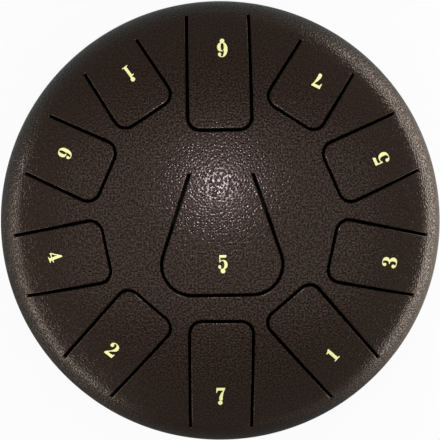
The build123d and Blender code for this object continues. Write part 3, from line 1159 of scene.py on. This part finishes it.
# Places in metres and leans in degrees. Lean is counter-clockwise, and the digits' tops point at the axis.
NUMBERS = (
    Number("tongue_low_6", "6", 0.0085, 0.0954, -0.0022, 0.0, 0.1004),
    Number("tongue_7", "7", 0.0083, 0.0948, -0.0027, 7.0),
    Number("tongue_5", "5", 0.0093, 0.0947, -0.0025, 0.0),
    Number("tongue_3", "3", 0.0088, 0.0948, -0.0014, 0.0),
    Number("tongue_1", "1", 0.0083, 0.0942, -0.0008, 7.0),
    Number("tongue_low_7", "7", 0.0078, 0.0935, -0.0005, 0.0, 0.0987),
    Number("tongue_2", "2", 0.0086, 0.0909, -0.0001, 3.0),
    Number("tongue_4", "4", 0.0080, 0.0926, -0.0017, 10.0),
    Number("tongue_6", "6", 0.0080, 0.0937, -0.0019, 0.0),
    Number("tongue_high_1", "1", 0.0076, 0.0974, -0.0036, 3.0, 0.0926),
    Number("tongue_low_5", "5", 0.0077, -0.0190, -0.0003, 0.0, -0.0237),
)


def digit_loop(strokes):
    """Points of one outline of a digit, about the digit's middle, in shares of its height."""
    points = [Vector((*strokes[0], 0))]
    for stroke in strokes[1:]:
        if len(stroke) == 2:
            points.append(Vector((*stroke, 0)))
        else:
            handles = [Vector((*stroke[at : at + 2], 0)) for at in (0, 2, 4)]
            points += interpolate_bezier(points[-1], *handles, CURVE_POINTS)[1:]
    if (points[-1] - points[0]).length < CLOSED_GAP:
        points.pop()
    return [(point.xy - Vector(DIGIT_MIDDLE)) / DIGIT_SPAN for point in points]


def spaced(loop, pitch):
    """A loop with points added on its long edges, so that a film follows the dome."""
    points = []
    for here, there in zip(loop, loop[1:] + loop[:1]):
        count = ceil((there - here).length / pitch)
        points += [here.lerp(there, step / count) for step in range(count)]
    return points


class LayNumbers(bpy.types.Operator):
    """Lays a cut film with its digit and octave dot on each tongue"""

    bl_idname = "drum.lay_numbers"
    bl_label = "Number films"

    def execute(self, context):
        """Makes one piece for each tongue."""
        sheet, sizes = context.scene.drum_sheet, context.scene.drum_number
        tongues = {tongue.name: tongue for tongue in read_tongues(sheet)}
        film = finish(yellow_film)
        for number in NUMBERS:
            plate = self.cut_film(number, tongues[number.tongue], sizes)
            self.wall(plate)
            name = number.tongue.replace("tongue", "number")
            piece = pressed_piece(name, plate, top_bowl(sheet), film)
            hand_over(piece, number.tongue, "number_film")
        return {"FINISHED"}

    def cut_film(self, number, tongue, sizes):
        """The film's two faces. A digit's second outline is its counter, which is left open."""
        facing = 1.0 if number.tongue == CENTRE_TONGUE else -1.0
        lean = Matrix.Rotation(radians(number.lean), 2)
        middle = tongue.at(number.along, number.across)
        loops = []
        for strokes in DIGITS[number.digit]:
            drawn = [lean @ point * number.height * facing for point in digit_loop(strokes)]
            loop = [middle + tongue.at(point.y, -point.x) for point in drawn]
            loops.append(spaced(loop, sizes.pitch))
        counters = {1} if len(loops) > 1 else set()
        if number.dot:
            dot_at = tongue.at(number.dot, number.across)
            loops.append(RoundCut(dot_at, sizes.dot / 2, sizes.pitch).outline(0.0))
        plan = triangulate(loops, middle, number.height, sizes.pitch)
        inside = []
        for triangle, owners in zip(plan.triangles, plan.owners):
            if owners and not counters.intersection(owners):
                inside.append(triangle)
        return Plate(plan.points, inside, sizes.gap + sizes.film, sizes.gap)

    def wall(self, plate):
        """Joins the film's two faces round their rim."""
        below = {top: plate.bottom[index] for index, top in plate.top.items()}
        for edge in [edge for edge in plate.mesh.edges if edge.is_boundary]:
            here, there = edge.verts
            if here in below and there in below:
                plate.cap((here, there, below[there], below[here]))


# Feet and fasteners

# Upright share of a screw head's height, and bends over its crown
HEAD_RIM = 0.35
HEAD_BENDS = 8


def lathe(profile):
    """A closed shape turned from a profile of radius and height, which meets the axis or is a ring."""
    made = bmesh.new()
    columns = []
    for radius, height in profile:
        if radius == 0:
            columns.append([made.verts.new((0, 0, height))] * LATHE_SIDES)
        else:
            turns = full_turn(LATHE_SIDES)
            columns.append([made.verts.new((radius * cos(t), radius * sin(t), height)) for t in turns])
    pairs = list(zip(columns, columns[1:]))
    if profile[0][0] > 0:
        pairs.append((columns[-1], columns[0]))
    for lower, upper in pairs:
        for index in range(LATHE_SIDES):
            after = (index + 1) % LATHE_SIDES
            corners = (lower[index], lower[after], upper[after], upper[index])
            made.faces.new(list(dict.fromkeys(corners)))
    return made


def sharp_mesh(made, name, angle):
    """The finished mesh of a shape in the making, with its edges sharp from an angle."""
    mesh = finished_mesh(made, name)
    mesh.set_sharp_from_angle(angle=angle)
    return mesh


def cut_with(mesh, tool, operation):
    """A mesh after a boolean with a tool mesh."""
    work, cutter = new_piece("work", mesh), new_piece("cutter", tool)
    modifier = work.modifiers.new("cut", "BOOLEAN")
    modifier.operation = operation
    modifier.solver = "EXACT"
    modifier.object = cutter
    result = evaluated_mesh(work)
    for obj in (work, cutter):
        bpy.data.objects.remove(obj)
    result.name = mesh.name
    result.set_sharp_from_angle(angle=SHARP_TURNED)
    return result


def prism(loop, low, high):
    """A closed upright prism over a plan outline, to cut with."""
    made = bmesh.new()
    bottom = [made.verts.new((*point, low)) for point in loop]
    top = [made.verts.new((*point, high)) for point in loop]
    made.faces.new(bottom[::-1])
    made.faces.new(top)
    for index in range(len(loop)):
        after = (index + 1) % len(loop)
        made.faces.new((bottom[index], bottom[after], top[after], top[index]))
    return sharp_mesh(made, "prism", SHARP_TOOL)


def foot_seat(context):
    """Tilt of the feet, and height of their seats on the bottom bowl."""
    bowl, foot = bottom_bowl(context.scene.drum_sheet), context.scene.drum_foot
    tilt = asin(foot.circle / bowl.crown)
    return tilt, bowl.crown_centre() - bowl.crown * cos(tilt)


def ring_of_feet(context, name, mesh, material, slot, *nodes):
    """Repeats a piece that was made about a foot's own axis at all the feet."""
    tilt, height = foot_seat(context)
    mesh.materials.append(material)
    piece = new_piece(name, mesh)
    run_tree(
        piece,
        foot_ring_tree,
        circle=context.scene.drum_foot.circle,
        seat_height=height,
        tilt=tilt,
        count=len(FOOT_NODES),
        finish=material,
    )
    hand_over(piece, DRUM, slot, *nodes)


class MouldFeet(bpy.types.Operator):
    """Moulds the rubber feet: drafted bumpers on the bowl's curve, with level soles and screw pockets"""

    bl_idname = "drum.mould_feet"
    bl_label = "Rubber feet"

    def execute(self, context):
        """Makes one piece with all the feet."""
        foot, bowl = context.scene.drum_foot, bottom_bowl(context.scene.drum_sheet)
        made = bmesh.new()
        columns = []
        for turn in full_turn(FOOT_SIDES):
            side = self.side(foot, bowl, foot_seat(context), turn)
            columns.append([made.verts.new((r * cos(turn), r * sin(turn), h)) for r, h in side])
        for here, there in zip(columns, columns[1:] + columns[:1]):
            for step in range(len(here)):
                after = (step + 1) % len(here)
                made.faces.new((here[step], there[step], there[after], here[after]))
        mesh = sharp_mesh(made, "rubber_feet", SHARP_MOULDED)
        ring_of_feet(context, "rubber_feet", mesh, finish(moulded_rubber), "foot_rubber", *FOOT_NODES)
        return {"FINISHED"}

    def side(self, foot, bowl, seat, turn):
        """Radii and heights of one side of a foot, from its bore out over the sole and back into its pocket.

        Heights run down the foot's own axis from its seat on the bowl.
        """
        tilt, seat_height = seat
        slope = tan(foot.draft)

        def floor_at(radius):
            """Height of the floor under a point of this side."""
            return (seat_height - radius * sin(turn) * sin(tilt)) / cos(tilt)

        lean = slope * sin(turn) * sin(tilt) / cos(tilt)
        reach = (foot.radius - slope * seat_height / cos(tilt)) / (1 - lean)
        top = sqrt(bowl.crown**2 - foot.radius**2) - bowl.crown + foot.seat
        bore_top = sqrt(bowl.crown**2 - foot.bore**2) - bowl.crown + foot.seat
        side = [(foot.bore, bore_top), (foot.radius, top)]
        wall_end = floor_at(reach) - foot.edge
        for step in range(1, WALL_STEPS + 1):
            height = top + (wall_end - top) * step / WALL_STEPS
            side.append((foot.radius - slope * height, height))
        edge_radius = side[-1][0]
        for step in range(1, EDGE_BENDS + 1):
            angle = pi / 2 * step / EDGE_BENDS
            radius = edge_radius - foot.edge * (1 - cos(angle))
            side.append((radius, floor_at(radius) - foot.edge * (1 - sin(angle))))
        mouth = foot.pocket + foot.pocket_ease
        side += [(mouth, floor_at(mouth)), (foot.pocket, floor_at(foot.pocket) - foot.pocket_ease)]
        return side + [(foot.pocket, foot.web), (foot.bore, foot.web)]


class FitFasteners(bpy.types.Operator):
    """Fits the foot screws, their washers and their nuts"""

    bl_idname = "drum.fit_fasteners"
    bl_label = "Foot fasteners"

    def execute(self, context):
        """Makes one piece of each kind."""
        foot, sheet = context.scene.drum_foot, context.scene.drum_sheet
        washer_seat = foot.web + foot.seat
        head_seat = washer_seat + foot.washer_height + foot.seat
        nut_seat = -sheet.thickness - foot.seat
        zinc = finish(zinc_plate)
        made = {
            "foot_screw_set": (self.screw(foot, head_seat, nut_seat), "foot_screws"),
            "foot_washer_set": (self.washer(foot, washer_seat), "foot_washers"),
            "foot_nut_set": (self.nut(foot, nut_seat), "foot_nuts"),
        }
        for name, (mesh, node) in made.items():
            ring_of_feet(context, name, mesh, zinc, "zinc_steel", node)
        return {"FINISHED"}

    def screw(self, foot, head_seat, nut_seat):
        """Pan-head screw with a rolled thread and a cross recess. Its head points down a foot's axis."""
        end = nut_seat - foot.nut_height - foot.screw_end
        core = foot.screw - foot.tooth
        profile = [(0, end), (core, end)]
        for turn in range(int((head_seat - end) / foot.thread)):
            height = end + foot.thread * turn
            profile += [(foot.screw, height + foot.thread / 2), (core, height + foot.thread)]
        profile += [(foot.screw, head_seat), (foot.head, head_seat)]
        crown_seat = head_seat + foot.head_height * HEAD_RIM
        crown = foot.head_height * (1 - HEAD_RIM)
        for bend in range(HEAD_BENDS):
            angle = pi / 2 * bend / HEAD_BENDS
            profile.append((foot.head * cos(angle), crown_seat + crown * sin(angle)))
        top = head_seat + foot.head_height
        profile.append((0, top))
        body = sharp_mesh(lathe(profile), "screw", SHARP_TURNED)
        arm, half = foot.drive / 2, foot.drive_width / 2
        cross = []
        for turn in full_turn(4):
            spin = Matrix.Rotation(turn, 2)
            cross += [spin @ Vector(point) for point in ((arm, -half), (arm, half), (half, half))]
        return cut_with(body, prism(cross, top - foot.drive_depth, top + foot.drive_depth), "DIFFERENCE")

    def washer(self, foot, seat):
        """Plain washer with eased edges."""
        ease = foot.washer_ease
        inner, outer, high = foot.washer_bore, foot.washer, seat + foot.washer_height
        profile = [
            (inner, seat), (outer - ease, seat), (outer, seat + ease), (outer, high - ease),
            (outer - ease, high), (inner + ease, high), (inner, high - ease),
        ]
        return sharp_mesh(lathe(profile), "washer", SHARP_TURNED)

    def nut(self, foot, seat):
        """Hex nut with chamfered corners and a threaded bore."""
        bore, mouth = foot.nut_bore, foot.nut_bore + foot.tooth
        high, low = seat, seat - foot.nut_height
        corner = foot.nut_flats / sqrt(3)
        ease = corner - foot.nut_flats / 2
        profile = [
            (mouth, high), (corner - ease, high), (corner, high - ease / 2), (corner, low + ease / 2),
            (corner - ease, low), (mouth, low), (bore, low + foot.tooth), (bore, high - foot.tooth),
        ]
        body = sharp_mesh(lathe(profile), "nut", SHARP_TURNED)
        hexagon = [Vector((corner * cos(turn), corner * sin(turn))) for turn in full_turn(6)]
        return cut_with(body, prism(hexagon, low - foot.seat, high + foot.seat), "INTERSECT")


# Stage

# Plan radii between which the floor clears from a painted shadow under the drum to white
SHADOW_BAND = (0.4 * SHELL_R, 1.12 * SHELL_R)

# Places on the floor, in metres, where its painted glow sets in at the right and at the far side, and its
# strengths
RIGHT_BAND = (0.1, 0.17)
RIGHT_STRENGTH = 0.6
FAR_BAND = (-0.1, 0.1)
FAR_STRENGTHS = (0.1, 0.28)

# Share of white that covers the floor's own colour where a ray sees it, and half the floor's width in metres
WHITE_SHARE = 0.94
FLOOR_HALF = 4.0


class Lamp(NamedTuple):
    """An area lamp that faces the drum: its name, its place, and its width and height, in metres."""

    name: str
    place: tuple
    size: tuple


OVERHEAD = Lamp("overhead_lamp", (-0.004, 0.185, 0.95), (0.14, 0.14))
CEILING = Lamp("ceiling_panel", (0.0, 0.0, 1.15), (3.4, 1.7))
RIGHT = Lamp("right_panel", (0.25, 0.03, 0.036), (0.6, 0.075))
LEFT = Lamp("left_panel", (-0.46, -0.18, 0.055), (0.8, 0.12))


def pale_floor(studio):
    """A floor that the camera sees as white, with a painted shadow under the drum and a painted glow in
    reflections.
    """
    material = bpy.data.materials.new("pale_floor")
    material.use_nodes = True
    bench = Bench(material.node_tree)
    material.node_tree.nodes.clear()
    rays = bench.node("ShaderNodeLightPath").outputs
    direct = rays["Is Camera Ray"]
    mirrored = bench.math("MAXIMUM", rays["Is Glossy Ray"], rays["Is Transmission Ray"])
    place = bench.node("ShaderNodeTexCoord").outputs["Object"]
    x, y, _ = bench.split(place)
    # Painted light: a pool of glow on the floor, seen only in reflections, strongest and warmest at the
    # right
    right = bench.smooth_range(x, *RIGHT_BAND)
    far = bench.smooth_range(y, *FAR_BAND, *FAR_STRENGTHS)
    painted_glow = bench.math("MAXIMUM", far, bench.math("MULTIPLY", right, RIGHT_STRENGTH))
    painted_glow_colour = bench.blend(right, opaque(studio.far_gleam), opaque(studio.right_gleam))
    reach = bench.length(place)
    # Painted shadow: the floor's white and glow fade to dark under the drum
    clear = bench.smooth_range(reach, *SHADOW_BAND)
    strength = bench.math("MULTIPLY", bench.math("MAXIMUM", direct, painted_glow), clear)
    colour = bench.blend(direct, painted_glow_colour, opaque(WHITE))
    white = bench.node("ShaderNodeEmission", {"Color": colour, "Strength": strength}).outputs["Emission"]
    matte = bench.node("ShaderNodeBsdfDiffuse", {"Color": opaque(studio.floor)}).outputs["BSDF"]
    share = bench.math("MULTIPLY", bench.math("MAXIMUM", direct, mirrored), WHITE_SHARE)
    both = bench.node("ShaderNodeMixShader", {0: share, 1: matte, 2: white}).outputs["Shader"]
    bench.node("ShaderNodeOutputMaterial", {"Surface": both})
    return material


def softbox(lamp, power, colour):
    """An area lamp that faces the drum and stays out of the picture."""
    data = bpy.data.lights.new(lamp.name, "AREA")
    data.shape = "RECTANGLE"
    data.size, data.size_y = lamp.size
    data.energy = power
    data.color = colour
    made = new_piece(lamp.name, data)
    made.location = lamp.place
    made.visible_camera = False
    way = Vector((0, 0, EQUATOR_Z)) - Vector(lamp.place)
    made.rotation_euler = way.to_track_quat("-Z", "Y").to_euler()
    return made


class SetStage(bpy.types.Operator):
    """Sets up the floor, the room's light, the lamps and the camera"""

    bl_idname = "drum.set_stage"
    bl_label = "Studio"

    def execute(self, context):
        """Makes the stage and chooses its camera."""
        scene, studio = context.scene, context.scene.drum_studio
        floor = self.floor(studio)
        overhead = softbox(OVERHEAD, studio.overhead_power, studio.overhead_colour)
        ceiling = softbox(CEILING, studio.ceiling_power, studio.ceiling_colour)
        right = softbox(RIGHT, studio.right_power, studio.side_colour)
        left = softbox(LEFT, studio.left_power, studio.side_colour)
        camera = self.camera(studio)
        scene.camera = camera
        scene.world = self.room(studio)
        scene.view_settings.view_transform = "Standard"
        return {"FINISHED"}

    def floor(self, studio):
        """A wide level floor."""
        made = bmesh.new()
        bmesh.ops.create_grid(made, x_segments=1, y_segments=1, size=FLOOR_HALF)
        mesh = bpy.data.meshes.new("floor")
        made.to_mesh(mesh)
        made.free()
        mesh.materials.append(pale_floor(studio))
        return new_piece("floor", mesh)

    def camera(self, studio):
        """A camera that faces its aim, with the far side of the drum at the top of the image."""
        lens = bpy.data.cameras.new("camera")
        lens.lens = studio.lens
        made = new_piece("camera", lens)
        place = Vector(studio.camera)
        back = (place - Vector(studio.aim)).normalized()
        across = Vector((0, 1, 0)).cross(back).normalized()
        turn = Matrix((across, back.cross(across), back)).transposed()
        made.matrix_world = Matrix.Translation(place) @ turn.to_4x4()
        return made

    def room(self, studio):
        """A world that the camera sees as white and that lights the drum softly."""
        world = bpy.data.worlds.new("room")
        world.use_nodes = True
        bench = Bench(world.node_tree)
        direct = bench.node("ShaderNodeLightPath").outputs["Is Camera Ray"]
        background = world.node_tree.nodes["Background"].inputs
        bench.feed(background["Strength"], bench.smooth_range(direct, 0.0, 1.0, studio.ambient, 1.0))
        bench.feed(background["Color"], bench.blend(direct, opaque(studio.room_colour), opaque(WHITE)))
        return world


class DrumPanel(bpy.types.Panel):
    """Lists the drum's build steps"""

    bl_idname = "VIEW3D_PT_drum"
    bl_label = "Steel tongue drum"
    bl_space_type = "VIEW_3D"
    bl_region_type = "UI"
    bl_category = "Drum"

    def draw(self, context):
        """Draws one button for each step."""
        for step in STEPS:
            self.layout.operator(step.bl_idname)


SETTINGS = {
    "drum_sheet": SheetSizes,
    "drum_number": NumberSizes,
    "drum_foot": FootSizes,
    "drum_finishes": Finishes,
    "drum_studio": Studio,
}
STEPS = (PressTop, PressBottom, WeldRim, LayNumbers, MouldFeet, FitFasteners, SetStage)
CLASSES = (*SETTINGS.values(), *STEPS, DrumPanel)


def register():
    """Registers the classes and the scene's settings."""
    for cls in CLASSES:
        bpy.utils.register_class(cls)
    for name, group in SETTINGS.items():
        setattr(bpy.types.Scene, name, PointerProperty(type=group))


def unregister():
    """Removes the scene's settings and the classes."""
    for name in SETTINGS:
        delattr(bpy.types.Scene, name)
    for cls in reversed(CLASSES):
        bpy.utils.unregister_class(cls)


def main():
    """Builds every piece and the stage."""
    register()
    bpy.ops.drum.press_top()
    bpy.ops.drum.press_bottom()
    bpy.ops.drum.weld_rim()
    bpy.ops.drum.lay_numbers()
    bpy.ops.drum.mould_feet()
    bpy.ops.drum.fit_fasteners()
    bpy.ops.drum.set_stage()


if __name__ == "__main__":
    main()
